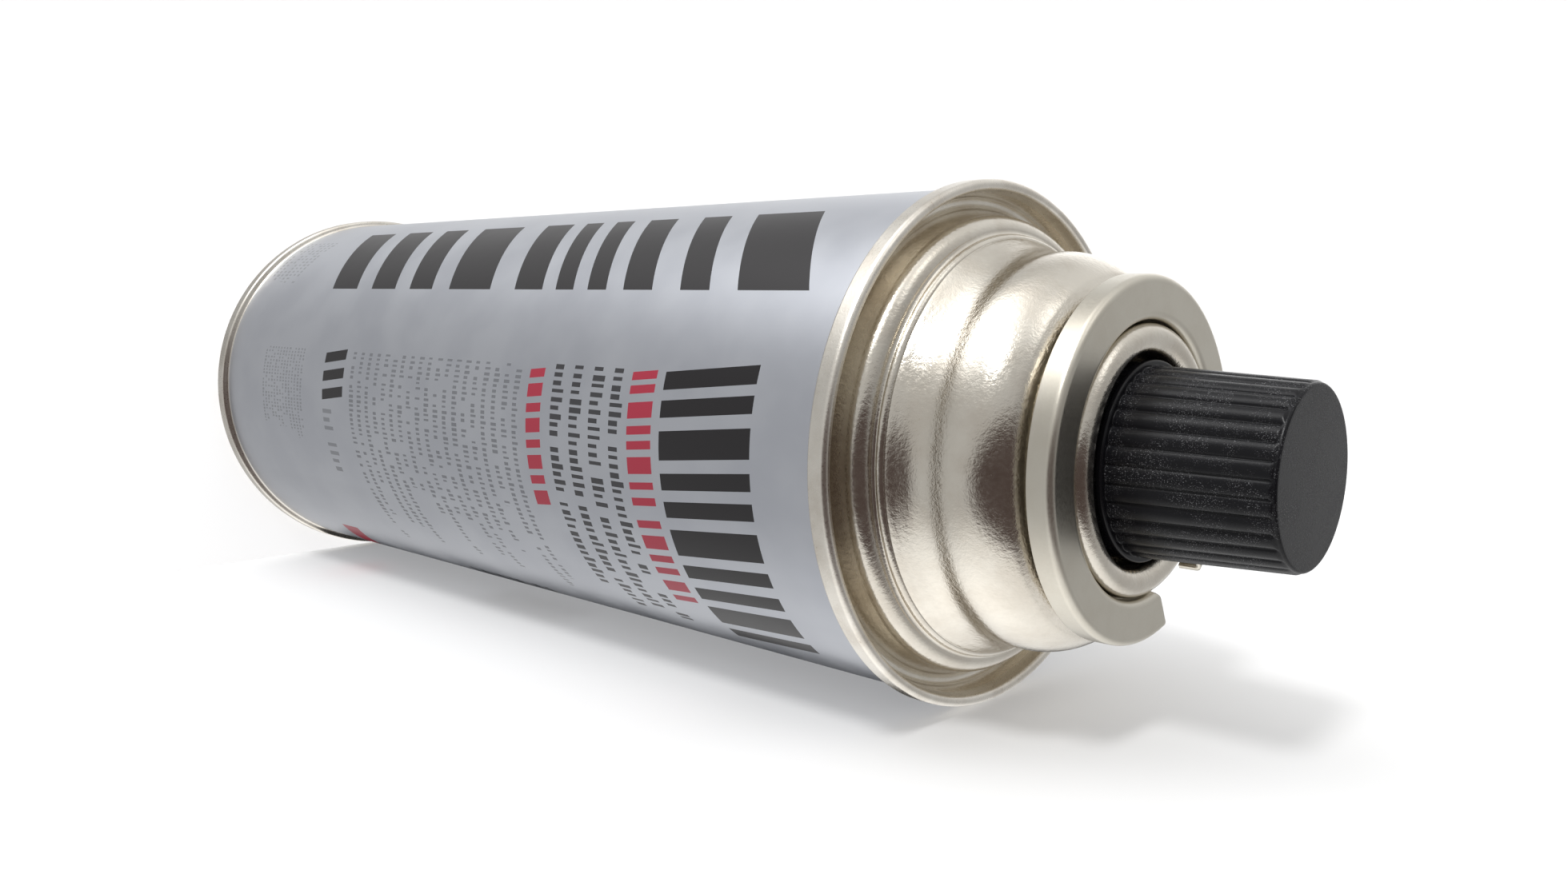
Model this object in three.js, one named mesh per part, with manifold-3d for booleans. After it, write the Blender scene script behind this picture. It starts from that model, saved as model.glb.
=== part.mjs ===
// A nozzle-type gas cartridge standing on its base: sealed tinplate can, notched collar, valve and ribbed cap.
// Millimetres, +Z up along the can's axis, origin at the centre of the standing ring, +Y towards the collar's notch.
import * as THREE from "three";
import { mergeVertices } from "three/addons/utils/BufferGeometryUtils.js";
import Module from "manifold-3d";

const wasm = await Module();
wasm.setup();

// Can: a straight body between two double seams.
const BODY_RADIUS = 33.25;
const SEAM_RADIUS = 34.25;
const SEAM_HEIGHT = 3.0;
const SEAM_ROUND = 0.7;
const TUCK_HEIGHT = 0.6;
const CAN_HEIGHT = 160.0;

// Base: a concave end panel inside the lower seam.
const BASE_RISE = 10.5;
const BASE_PANEL_RADIUS = 29.6;
const BASE_PANEL_HEIGHT = 5.0;

// Top end: countersink, two rolled steps, a leaning wall and a rounded shoulder.
const COUNTERSINK_DEPTH = 4.35;
const COUNTERSINK_ROUND = 0.85;
const LOWER_STEP_RADIUS = 29.75;
const LOWER_STEP_ROUND = 2.1;
const LOWER_STEP_RISE = 1.2;
const UPPER_STEP_RADIUS = 27.3;
const UPPER_STEP_ROUND = 0.8;
const UPPER_STEP_RISE = 2.4;
const WALL_FOOT_RADIUS = 26.45;
const WALL_CREASE_RADIUS = 25.3;
const WALL_CREASE_RISE = 7.4;
const SHOULDER_RADIUS = 25.0;
const SHOULDER_ROUND = 9.7;
const SHOULDER_RISE = 9.4;
const SHOULDER_TURN_DEGREES = 43.7;
const DOME_TOP_RISE = 17.6;
const DOME_TOP_RADIUS = 19.2;
const NECK_FILLET = 0.8;

// Valve cup: pressed sheet whose outer edge is curled over the can's own curl.
const CUP_SHEET = 0.4;
const CURL_CENTRE_RADIUS = 14.75;
const CURL_ROUND = 1.85;
const CURL_SKIRT = 1.2;
const CURL_TOP_RISE = 21.95;
const CUP_WELL_RADIUS = 12.5;
const CUP_WELL_DEPTH = 6.95;
const CUP_CORNER = 0.8;
const PEDESTAL_RADIUS = 8.6;
const PEDESTAL_HEIGHT = 5.6;

// Collar: a pressed ring with a turned-down skirt, an inner flange and a locating notch.
const COLLAR_RADIUS = 22.25;
const COLLAR_SHEET = 0.6;
const COLLAR_HEIGHT = 3.9;
const COLLAR_SKIRT = 3.2;
const COLLAR_OUTER_BEND = 0.9;
const COLLAR_INNER_BEND = 1.0;
const NOTCH_HALF_WIDTH = 5.1;
const NOTCH_FLARE = 0.7;
const NOTCH_CORNER = 2.6;

// Valve: gaskets, moulded housing, spring and hollow stem.
const GASKET_THICKNESS = 0.4;
const STEM_GASKET_RADIUS = 6.5;
const STEM_GASKET_THICKNESS = 1.2;
const HOUSING_HEAD_HEIGHT = 2.4;
const HOUSING_RADIUS = 5.4;
const HOUSING_LENGTH = 16.0;
const HOUSING_BORE = 3.9;
const HOUSING_FLOOR = 2.0;
const TAIL_RADIUS = 2.4;
const TAIL_LENGTH = 2.2;
const TAIL_BORE = 1.0;
const STEM_RADIUS = 2.0;
const STEM_PROJECTION = 5.4;
const STEM_BORE = 0.9;
const STEM_COLLAR_RADIUS = 3.4;
const STEM_COLLAR_HEIGHT = 1.5;
const STEM_SPIGOT_RADIUS = 1.6;
const STEM_SPIGOT_LENGTH = 2.7;
const SPRING_WIRE = 0.35;
const SPRING_RADIUS = 2.75;
const SPRING_TURNS = 5;

// Cap: a ribbed thimble with a smooth base ring, pushed into the well of the cup.
const CAP_LENGTH = 25.7;
const CAP_RING_RADIUS = 12.15;
const CAP_RING_THICKNESS = 0.9;
const CAP_PLUG_RADIUS = 11.8;
const CAP_PLUG_LENGTH = 5.5;
const CAP_FOOT_RADIUS = 11.5;
const CAP_END_RADIUS = 10.75;
const CAP_END_ROUND = 0.35;
const CAP_WALL = 1.5;
const CAP_ROOF = 1.6;
const CAP_LIP = 0.7;
const CAP_SNAP = 0.3;
const RIB_COUNT = 32;
const RIB_DEPTH = 0.45;

// Clearances between neighbouring pieces.
const SEAT_GAP = 0.08;
const RUNNING_GAP = 0.05;
const FIT_GAP = 0.3;

// Facets.
const CAN_SEGMENTS = 40;
const CUP_SEGMENTS = 36;
const VALVE_SEGMENTS = 20;
const COIL_SEGMENTS = 8;
const ARC_STEPS = 3;
const CURL_STEPS = 4;
const RIB_STEPS = 4;

// Heights that several pieces share.
const DOME_TOP = CAN_HEIGHT + DOME_TOP_RISE;
const CURL_TOP = CAN_HEIGHT + CURL_TOP_RISE;
const CURL_CENTRE = CURL_TOP - CURL_ROUND;
const CUP_WELL = CURL_TOP - CUP_WELL_DEPTH;
const PEDESTAL_TOP = CUP_WELL + PEDESTAL_HEIGHT;
const CUP_CURL_INSIDE = CURL_ROUND - CUP_SHEET;
const CAN_CURL_ROUND = CUP_CURL_INSIDE - GASKET_THICKNESS - 2 * SEAT_GAP;
const GASKET_TOP = PEDESTAL_TOP - CUP_SHEET;
const HOUSING_TOP = GASKET_TOP - STEM_GASKET_THICKNESS;
const HOUSING_BASE = HOUSING_TOP - HOUSING_LENGTH;
const CAP_BASE = CUP_WELL + FIT_GAP;

const tinplate = new THREE.MeshStandardMaterial({ color: 0xc9c2b2, roughness: 0.32, metalness: 1 });
const printedSteel = new THREE.MeshStandardMaterial({ color: 0xa9adb6, roughness: 0.4, metalness: 0.6 });
const collarSteel = new THREE.MeshStandardMaterial({ color: 0xb9b29f, roughness: 0.42, metalness: 1 });
const blackPlastic = new THREE.MeshStandardMaterial({ color: 0x16171a, roughness: 0.45, metalness: 0 });
const gasketRubber = new THREE.MeshStandardMaterial({ color: 0x1c1c1c, roughness: 0.9, metalness: 0 });
const whiteAcetal = new THREE.MeshStandardMaterial({ color: 0xe9e6de, roughness: 0.5, metalness: 0 });
const springSteel = new THREE.MeshStandardMaterial({ color: 0xb0b3b8, roughness: 0.3, metalness: 1 });

const at = (radius, height) => new THREE.Vector2(radius, height);

// Points of a round stretch of a profile, both ends included.
function arc(radius, height, round, fromDegrees, toDegrees, steps = ARC_STEPS) {
  const points = [];
  for (let i = 0; i <= steps; i++) {
    const angle = THREE.MathUtils.degToRad(fromDegrees + ((toDegrees - fromDegrees) * i) / steps);
    points.push(at(radius + round * Math.cos(angle), height + round * Math.sin(angle)));
  }
  return points;
}

// Turns a profile about +Z; a profile off the axis is closed on itself first.
function turned(profile, segments) {
  const ring = profile[0].x > 0;
  const outline = THREE.ShapeUtils.isClockWise(profile) ? [...profile].reverse() : profile;
  const points = ring ? [...outline, outline[0].clone()] : outline;
  return new THREE.LatheGeometry(points, segments).rotateX(Math.PI / 2);
}

function solid(geometry) {
  const bare = geometry.clone();
  bare.deleteAttribute("normal");
  bare.deleteAttribute("uv");
  const merged = mergeVertices(bare, 1e-4);
  const corners = merged.index.array;
  const kept = [];
  for (let i = 0; i < corners.length; i += 3) {
    const [a, b, c] = corners.slice(i, i + 3);
    if (a !== b && b !== c && c !== a) kept.push(a, b, c);
  }
  return new wasm.Manifold(
    new wasm.Mesh({
      numProp: 3,
      vertProperties: merged.attributes.position.array,
      triVerts: new Uint32Array(kept),
    }),
  );
}

function geometryOf(manifold) {
  const mesh = manifold.getMesh();
  const geometry = new THREE.BufferGeometry();
  geometry.setAttribute("position", new THREE.BufferAttribute(mesh.vertProperties, 3));
  geometry.setIndex(new THREE.BufferAttribute(mesh.triVerts, 1));
  geometry.computeVertexNormals();
  return geometry;
}

// Concave end panel and the standing seam round it, from the axis outwards.
function baseProfile() {
  const sag = BASE_RISE - BASE_PANEL_HEIGHT;
  const round = (BASE_PANEL_RADIUS ** 2 + sag ** 2) / (2 * sag);
  const halfAngle = THREE.MathUtils.radToDeg(Math.asin(BASE_PANEL_RADIUS / round));
  const panel = arc(0, BASE_RISE - round, round, 90, 90 - halfAngle);
  panel[0].x = 0;
  const innerSeam = SEAM_RADIUS - 3 * SEAM_ROUND;
  return [
    ...panel,
    at(innerSeam - 2 * SEAM_ROUND / 3, BASE_PANEL_HEIGHT - SEAM_ROUND),
    ...arc(innerSeam + SEAM_ROUND, SEAM_ROUND, SEAM_ROUND, 180, 270, 2),
    ...arc(SEAM_RADIUS - SEAM_ROUND, SEAM_ROUND, SEAM_ROUND, 270, 360, 2),
    at(SEAM_RADIUS, SEAM_HEIGHT - TUCK_HEIGHT),
    at(BODY_RADIUS, SEAM_HEIGHT),
  ];
}

// Upper seam, countersink, two steps, leaning wall and shoulder, going inwards to the flat top of the dome.
function domeProfile() {
  const seamInside = SEAM_RADIUS - 2 * SEAM_ROUND;
  const sinkBottom = CAN_HEIGHT - COUNTERSINK_DEPTH;
  const sinkCentre = seamInside - 2 * SEAM_ROUND / 3 - 2 * COUNTERSINK_ROUND + SEAM_ROUND;
  const shoulderCentre = CAN_HEIGHT + SHOULDER_RISE;
  const lowerCentre = CAN_HEIGHT + LOWER_STEP_RISE - LOWER_STEP_ROUND;
  const upperCentre = CAN_HEIGHT + UPPER_STEP_RISE - UPPER_STEP_ROUND;
  return [
    at(BODY_RADIUS, CAN_HEIGHT - SEAM_HEIGHT),
    at(SEAM_RADIUS, CAN_HEIGHT - SEAM_HEIGHT + TUCK_HEIGHT),
    ...arc(SEAM_RADIUS - SEAM_ROUND, CAN_HEIGHT - SEAM_ROUND, SEAM_ROUND, 0, 180, 4),
    ...arc(sinkCentre, sinkBottom + COUNTERSINK_ROUND, COUNTERSINK_ROUND, 0, -180),
    ...arc(LOWER_STEP_RADIUS - LOWER_STEP_ROUND, lowerCentre, LOWER_STEP_ROUND, 0, 85),
    ...arc(UPPER_STEP_RADIUS - UPPER_STEP_ROUND, upperCentre, UPPER_STEP_ROUND, -10, 80, 2),
    at(WALL_FOOT_RADIUS, CAN_HEIGHT + UPPER_STEP_RISE + SEAM_ROUND),
    at(WALL_CREASE_RADIUS, CAN_HEIGHT + WALL_CREASE_RISE),
    ...arc(SHOULDER_RADIUS - SHOULDER_ROUND, shoulderCentre, SHOULDER_ROUND, 0, SHOULDER_TURN_DEGREES, 4),
    at((SHOULDER_RADIUS + DOME_TOP_RADIUS) / 2 - NECK_FILLET, DOME_TOP - NECK_FILLET),
    at(DOME_TOP_RADIUS, DOME_TOP),
  ];
}

// Neck and curl that carry the cup, then the open throat and the well round the valve housing.
function throatProfile() {
  const neck = CURL_CENTRE_RADIUS + CAN_CURL_ROUND;
  const throatFloor = CUP_WELL - CUP_SHEET - FIT_GAP;
  const housingWell = HOUSING_RADIUS + 2 * FIT_GAP;
  const wellFloor = HOUSING_BASE - TAIL_LENGTH - FIT_GAP;
  return [
    ...arc(neck + NECK_FILLET, DOME_TOP + NECK_FILLET, NECK_FILLET, 270, 180, 2),
    ...arc(CURL_CENTRE_RADIUS, CURL_CENTRE, CAN_CURL_ROUND, 0, 180, CURL_STEPS),
    at(CURL_CENTRE_RADIUS - CAN_CURL_ROUND, throatFloor),
    at(housingWell, throatFloor),
    at(housingWell, wellFloor),
    at(0, wellFloor),
  ];
}

const canGeometry = () => turned([...baseProfile(), ...domeProfile(), ...throatProfile()], CAN_SEGMENTS);

// Sheet curled over the gasket, down into the well and up over the pedestal to the stem hole.
function valveCupGeometry() {
  const hole = STEM_RADIUS + FIT_GAP;
  const roofUnder = PEDESTAL_TOP - CUP_SHEET;
  const cornerCentre = CUP_WELL + CUP_CORNER;
  const curlEdge = CURL_CENTRE - CURL_SKIRT;
  const profile = [
    at(hole, PEDESTAL_TOP),
    ...arc(PEDESTAL_RADIUS - CUP_CORNER, PEDESTAL_TOP - CUP_CORNER, CUP_CORNER, 90, 0, 2),
    ...arc(PEDESTAL_RADIUS + CUP_CORNER, cornerCentre, CUP_CORNER, 180, 270, 2),
    ...arc(CUP_WELL_RADIUS - CUP_CORNER, cornerCentre, CUP_CORNER, 270, 360, 2),
    ...arc(CURL_CENTRE_RADIUS, CURL_CENTRE, CURL_ROUND, 180, 0, 6),
    at(CURL_CENTRE_RADIUS + CURL_ROUND, curlEdge),
    at(CURL_CENTRE_RADIUS + CUP_CURL_INSIDE, curlEdge),
    ...arc(CURL_CENTRE_RADIUS, CURL_CENTRE, CUP_CURL_INSIDE, 0, 180, CURL_STEPS),
    ...arc(CUP_WELL_RADIUS - CUP_CORNER, cornerCentre, CUP_CORNER + CUP_SHEET, 360, 270, 1),
    ...arc(PEDESTAL_RADIUS + CUP_CORNER, cornerCentre, CUP_CORNER + CUP_SHEET, 270, 180, 1),
    at(PEDESTAL_RADIUS - CUP_SHEET, roofUnder),
    at(hole, roofUnder),
  ];
  return turned(profile, CUP_SEGMENTS);
}

// Flowed-in sealing ring between the can's curl and the cup's.
function cupGasketGeometry() {
  const outer = CUP_CURL_INSIDE - SEAT_GAP;
  const profile = [
    ...arc(CURL_CENTRE_RADIUS, CURL_CENTRE, outer, 0, 180, CURL_STEPS),
    ...arc(CURL_CENTRE_RADIUS, CURL_CENTRE, outer - GASKET_THICKNESS, 180, 0, CURL_STEPS),
  ];
  return turned(profile, CUP_SEGMENTS);
}

// Outline of the notch, seen from above: flared outwards, with rounded tips beside the curl.
function notchShape() {
  const mouth = COLLAR_RADIUS + FIT_GAP * 10;
  const inside = CURL_CENTRE_RADIUS;
  const outerHalf = NOTCH_HALF_WIDTH + NOTCH_FLARE;
  const cornerEnd = inside + CURL_ROUND + NOTCH_CORNER / 2;
  const shape = new THREE.Shape();
  shape.moveTo(-NOTCH_HALF_WIDTH - NOTCH_CORNER, inside);
  shape.quadraticCurveTo(-NOTCH_HALF_WIDTH, inside + CURL_ROUND, -NOTCH_HALF_WIDTH, cornerEnd);
  shape.lineTo(-outerHalf, mouth);
  shape.lineTo(outerHalf, mouth);
  shape.lineTo(NOTCH_HALF_WIDTH, cornerEnd);
  shape.quadraticCurveTo(NOTCH_HALF_WIDTH, inside + CURL_ROUND, NOTCH_HALF_WIDTH + NOTCH_CORNER, inside);
  shape.closePath();
  return shape;
}

// Pressed ring that stands on the dome by its inner flange, cut through at the notch.
function collarGeometry() {
  const top = DOME_TOP + COLLAR_HEIGHT;
  const inside = CURL_CENTRE_RADIUS + CURL_ROUND + 3 * SEAT_GAP;
  const skirtEdge = top - COLLAR_SKIRT;
  const outerBend = [COLLAR_RADIUS - COLLAR_OUTER_BEND, top - COLLAR_OUTER_BEND];
  const innerBend = [inside + COLLAR_INNER_BEND, top - COLLAR_INNER_BEND];
  const profile = [
    at(COLLAR_RADIUS, skirtEdge),
    ...arc(...outerBend, COLLAR_OUTER_BEND, 0, 90),
    ...arc(...innerBend, COLLAR_INNER_BEND, 90, 180),
    at(inside, DOME_TOP),
    at(inside + COLLAR_SHEET, DOME_TOP),
    ...arc(...innerBend, COLLAR_INNER_BEND - COLLAR_SHEET, 180, 90),
    ...arc(...outerBend, COLLAR_OUTER_BEND - COLLAR_SHEET, 90, 0),
    at(COLLAR_RADIUS - COLLAR_SHEET, skirtEdge),
  ];
  const cutter = new THREE.ExtrudeGeometry(notchShape(), {
    depth: 2 * COLLAR_HEIGHT,
    bevelEnabled: false,
    curveSegments: 4,
  });
  cutter.translate(0, 0, DOME_TOP - COLLAR_HEIGHT / 2);
  return geometryOf(solid(turned(profile, CAN_SEGMENTS)).subtract(solid(cutter)));
}

function stemGasketGeometry() {
  const profile = [
    at(STEM_RADIUS + RUNNING_GAP, HOUSING_TOP),
    at(STEM_GASKET_RADIUS, HOUSING_TOP),
    at(STEM_GASKET_RADIUS, GASKET_TOP),
    at(STEM_RADIUS + RUNNING_GAP, GASKET_TOP),
  ];
  return turned(profile, VALVE_SEGMENTS);
}

// Moulded cup that holds the spring, with a wide head in the pedestal and a tail with the inlet hole.
function housingGeometry() {
  const headRadius = PEDESTAL_RADIUS - CUP_SHEET - FIT_GAP;
  const headBase = HOUSING_TOP - HOUSING_HEAD_HEIGHT;
  const floor = HOUSING_BASE + HOUSING_FLOOR;
  const tailEnd = HOUSING_BASE - TAIL_LENGTH;
  const profile = [
    at(TAIL_BORE, tailEnd),
    at(TAIL_RADIUS, tailEnd),
    at(TAIL_RADIUS, HOUSING_BASE),
    at(HOUSING_RADIUS, HOUSING_BASE),
    at(HOUSING_RADIUS, headBase),
    at(headRadius, headBase),
    at(headRadius, HOUSING_TOP),
    at(HOUSING_BORE, HOUSING_TOP),
    at(HOUSING_BORE, floor),
    at(TAIL_BORE, floor),
  ];
  return turned(profile, VALVE_SEGMENTS);
}

// Hollow nozzle with a sealing collar under the gasket and a spigot that centres the spring.
function stemGeometry() {
  const tip = PEDESTAL_TOP + STEM_PROJECTION;
  const collarTop = HOUSING_TOP - FIT_GAP;
  const collarBase = collarTop - STEM_COLLAR_HEIGHT;
  const edge = STEM_RADIUS - STEM_BORE;
  const profile = [
    at(0, collarBase - STEM_SPIGOT_LENGTH),
    at(STEM_SPIGOT_RADIUS, collarBase - STEM_SPIGOT_LENGTH),
    at(STEM_SPIGOT_RADIUS, collarBase),
    at(STEM_COLLAR_RADIUS, collarBase),
    at(STEM_COLLAR_RADIUS, collarTop),
    at(STEM_RADIUS, collarTop),
    ...arc(STEM_RADIUS - edge / 2, tip - edge / 2, edge / 2, 0, 180, 2),
    at(STEM_BORE, GASKET_TOP - STEM_GASKET_THICKNESS),
    at(0, GASKET_TOP - STEM_GASKET_THICKNESS),
  ];
  return turned(profile, VALVE_SEGMENTS);
}

// Centre line of the coil, from the housing's floor to the stem's collar.
class CoilCurve extends THREE.Curve {
  constructor(radius, base, height, turns) {
    super();
    Object.assign(this, { radius, base, height, turns });
  }
  getPoint(t, target = new THREE.Vector3()) {
    const angle = 2 * Math.PI * this.turns * t;
    return target.set(
      this.radius * Math.cos(angle),
      this.radius * Math.sin(angle),
      this.base + this.height * t,
    );
  }
}

function springGeometry() {
  const foot = HOUSING_BASE + HOUSING_FLOOR + SPRING_WIRE + SEAT_GAP;
  const head = HOUSING_TOP - FIT_GAP - STEM_COLLAR_HEIGHT - SPRING_WIRE - SEAT_GAP;
  const wire = new THREE.Shape().absarc(0, 0, SPRING_WIRE, 0, 2 * Math.PI);
  return new THREE.ExtrudeGeometry(wire, {
    steps: COIL_SEGMENTS * SPRING_TURNS,
    curveSegments: 3,
    extrudePath: new CoilCurve(SPRING_RADIUS, foot, head - foot, SPRING_TURNS),
  });
}

// Round-topped ribs with narrow valleys, as a closed outline at the cap's foot.
function ribOutline() {
  const points = [];
  for (let i = 0; i < RIB_COUNT * RIB_STEPS; i++) {
    const turn = (2 * Math.PI * i) / (RIB_COUNT * RIB_STEPS);
    const crest = Math.sqrt(Math.abs(Math.sin((RIB_COUNT * turn) / 2)));
    const radius = CAP_FOOT_RADIUS - RIB_DEPTH * (1 - crest);
    points.push(at(radius * Math.cos(turn), radius * Math.sin(turn)));
  }
  return points;
}

// Ribbed sleeve, narrowing from the base ring to the end face.
function ribSleeve(foot, head) {
  const shape = new THREE.Shape(ribOutline());
  const bore = CAP_FOOT_RADIUS - RIB_DEPTH - CAP_WALL / 2;
  shape.holes.push(new THREE.Path().absarc(0, 0, bore, 0, 2 * Math.PI));
  const sleeve = new THREE.ExtrudeGeometry(shape, {
    depth: head - foot,
    bevelEnabled: false,
    curveSegments: CUP_SEGMENTS / 2,
  });
  const position = sleeve.attributes.position;
  const shrink = CAP_END_RADIUS / CAP_FOOT_RADIUS;
  for (let i = 0; i < position.count; i++) {
    const scale = position.getZ(i) > (head - foot) / 2 ? shrink : 1;
    position.setXY(i, position.getX(i) * scale, position.getY(i) * scale);
  }
  return sleeve.translate(0, 0, foot);
}

// Hollow core of the cap: plug with a snap bead, base ring, plain wall under the ribs and end face.
function capCore(ringTop, top) {
  const ringBase = ringTop - CAP_RING_THICKNESS;
  const footWall = CAP_FOOT_RADIUS - RIB_DEPTH;
  const endWall = CAP_END_RADIUS - RIB_DEPTH;
  const bore = PEDESTAL_RADIUS + 2 * FIT_GAP;
  const snap = bore - CAP_SNAP;
  const snapHeight = CAP_BASE + CAP_PLUG_LENGTH / 3;
  const lipRadius = CAP_END_RADIUS - RIB_DEPTH / 2;
  const profile = [
    at(bore + CAP_SNAP, CAP_BASE),
    at(CAP_PLUG_RADIUS - CAP_SNAP, CAP_BASE),
    at(CAP_PLUG_RADIUS, CAP_BASE + CAP_SNAP),
    at(CAP_PLUG_RADIUS, ringBase),
    ...arc(CAP_RING_RADIUS - CAP_SNAP, ringBase + CAP_SNAP, CAP_SNAP, 270, 360, 2),
    ...arc(CAP_RING_RADIUS - CAP_SNAP, ringTop - CAP_SNAP, CAP_SNAP, 0, 90, 2),
    at(footWall, ringTop),
    at(endWall, top - CAP_LIP),
    at(lipRadius, top - CAP_LIP),
    ...arc(lipRadius - CAP_END_ROUND, top - CAP_END_ROUND, CAP_END_ROUND, 0, 90, 2),
    at(0, top),
    at(0, top - CAP_ROOF),
    at(endWall - CAP_WALL, top - CAP_ROOF),
    at(bore, snapHeight + 2 * CAP_SNAP),
    at(snap, snapHeight + CAP_SNAP),
    at(snap, snapHeight),
    at(bore, snapHeight - CAP_SNAP),
  ];
  return profile;
}

function capGeometry() {
  const top = CAP_BASE + CAP_LENGTH;
  const ringTop = CAP_BASE + CAP_PLUG_LENGTH + CAP_RING_THICKNESS;
  const profile = capCore(ringTop, top);
  const axisEnd = profile.findIndex((point) => point.x === 0) + 1;
  const outline = [...profile.slice(axisEnd), ...profile.slice(0, axisEnd)];
  const core = solid(turned(outline, CUP_SEGMENTS));
  const ribs = solid(ribSleeve(ringTop - CAP_SNAP, top - CAP_LIP / 2));
  return geometryOf(core.add(ribs));
}

function piece(name, geometry, material) {
  const mesh = new THREE.Mesh(geometry, material);
  mesh.name = name;
  return mesh;
}

const canister = new THREE.Group();
canister.add(
  piece("can", canGeometry(), printedSteel),
  piece("collar", collarGeometry(), collarSteel),
  piece("valve_cup", valveCupGeometry(), tinplate),
  piece("cup_gasket", cupGasketGeometry(), gasketRubber),
  piece("stem_gasket", stemGasketGeometry(), gasketRubber),
  piece("valve_housing", housingGeometry(), whiteAcetal),
  piece("valve_spring", springGeometry(), springSteel),
  piece("valve_stem", stemGeometry(), whiteAcetal),
  piece("cap", capGeometry(), blackPlastic),
);

export default canister;
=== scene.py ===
"""Looks of a nozzle-type fuel canister.

A printed tinplate can with a stepped dome carries a notched collar, a valve and a ribbed cap. Every piece is
a surface of revolution, or one whose radius also depends on the angle, worked out on a numpy grid.
Profiles are written in millimetres as (radius, height) and turned into metres when the mesh is made.
"""

import logging
import math
from dataclasses import dataclass
from enum import Enum

import bpy
import numpy as np
from mathutils import Matrix

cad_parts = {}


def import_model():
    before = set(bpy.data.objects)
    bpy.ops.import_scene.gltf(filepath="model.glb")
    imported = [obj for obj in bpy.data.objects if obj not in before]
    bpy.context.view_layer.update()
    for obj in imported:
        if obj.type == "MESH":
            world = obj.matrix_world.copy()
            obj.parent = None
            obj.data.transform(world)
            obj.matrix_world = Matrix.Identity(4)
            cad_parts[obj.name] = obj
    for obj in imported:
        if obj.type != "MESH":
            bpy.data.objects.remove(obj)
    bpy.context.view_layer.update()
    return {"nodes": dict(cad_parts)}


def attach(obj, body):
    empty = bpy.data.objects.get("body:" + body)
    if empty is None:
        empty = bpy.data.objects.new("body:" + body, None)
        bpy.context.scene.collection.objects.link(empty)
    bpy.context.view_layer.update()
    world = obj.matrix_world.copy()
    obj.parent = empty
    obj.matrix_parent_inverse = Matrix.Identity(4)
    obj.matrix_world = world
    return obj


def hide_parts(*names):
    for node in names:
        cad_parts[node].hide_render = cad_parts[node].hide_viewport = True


LOG = logging.getLogger("canister")
MM = 0.001
SAME_POINT = 1e-4
TINY = 1e-6
Pair = tuple[float, float]
Triple = tuple[float, float, float]
Colour = Triple
Socket = bpy.types.NodeSocket
Value = Socket | float | tuple | None


class Slot(Enum):
    """Material slots of the record; build() takes one for each piece but does not use it."""

    CAN = "can_body"
    COLLAR = "collar_steel"
    TINPLATE = "tinplate"
    ACETAL = "acetal"
    CAP = "cap_plastic"


# Profiles


def arc(radius: float, height: float, round_: float, start: float, end: float, steps: int = 12) -> np.ndarray:
    """Points on a circle in the profile plane, both ends included.

    Args:
        radius, height: centre of the circle.
        round_: radius of the circle.
        start, end: angles in degrees, 0 outwards and 90 up.
        steps: number of spans.

    Returns:
        Array of (radius, height) rows.
    """
    angle = np.radians(np.linspace(start, end, steps + 1))
    return np.stack([radius + round_ * np.cos(angle), height + round_ * np.sin(angle)], axis=1)


def line(*points: Pair, hold: float = 0.06) -> np.ndarray:
    """Straight stretches through the points, with support points near their ends.

    The support points let the fillets beside a stretch shade cleanly.

    Args:
        points: corners as (radius, height).
        hold: distance of a support point from its corner.

    Returns:
        Array of (radius, height) rows.
    """
    corners = np.asarray(points, float)
    rows = [corners[:1]]
    for a, b in zip(corners[:-1], corners[1:]):
        length = float(np.hypot(*(b - a)))
        share = min(hold / max(length, 1e-9), 0.3)
        rows.append(a + (b - a) * np.array([[share], [1 - share], [1.0]]))
    return np.concatenate(rows)


def apart(points: np.ndarray) -> np.ndarray:
    """False for each point that falls on the one before."""
    return np.concatenate([[True], np.hypot(*np.diff(points, axis=0).T) > SAME_POINT])


def join(*parts: np.ndarray) -> np.ndarray:
    """Joins stretches of a profile and drops points that fall on the one before."""
    points = np.concatenate(parts)
    return points[apart(points)]


def blend_curve(points: np.ndarray, steps: int = 6) -> np.ndarray:
    """Rounds a run of points with a Catmull-Rom spline that passes through them.

    Args:
        points: rows of (radius, height).
        steps: spans between two points.

    Returns:
        Array of (radius, height) rows.
    """
    padded = np.concatenate([2 * points[:1] - points[1:2], points, 2 * points[-1:] - points[-2:-1]])
    a, b, c, d = padded[:-3], padded[1:-2], padded[2:-1], padded[3:]
    t = np.linspace(0, 1, steps, endpoint=False)[:, None, None]
    curve = 0.5 * (2 * b + (c - a) * t + (2 * a - 5 * b + 4 * c - d) * t**2 + (3 * b - a - 3 * c + d) * t**3)
    return np.concatenate([curve.transpose(1, 0, 2).reshape(-1, 2), points[-1:]])


# Meshes


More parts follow.
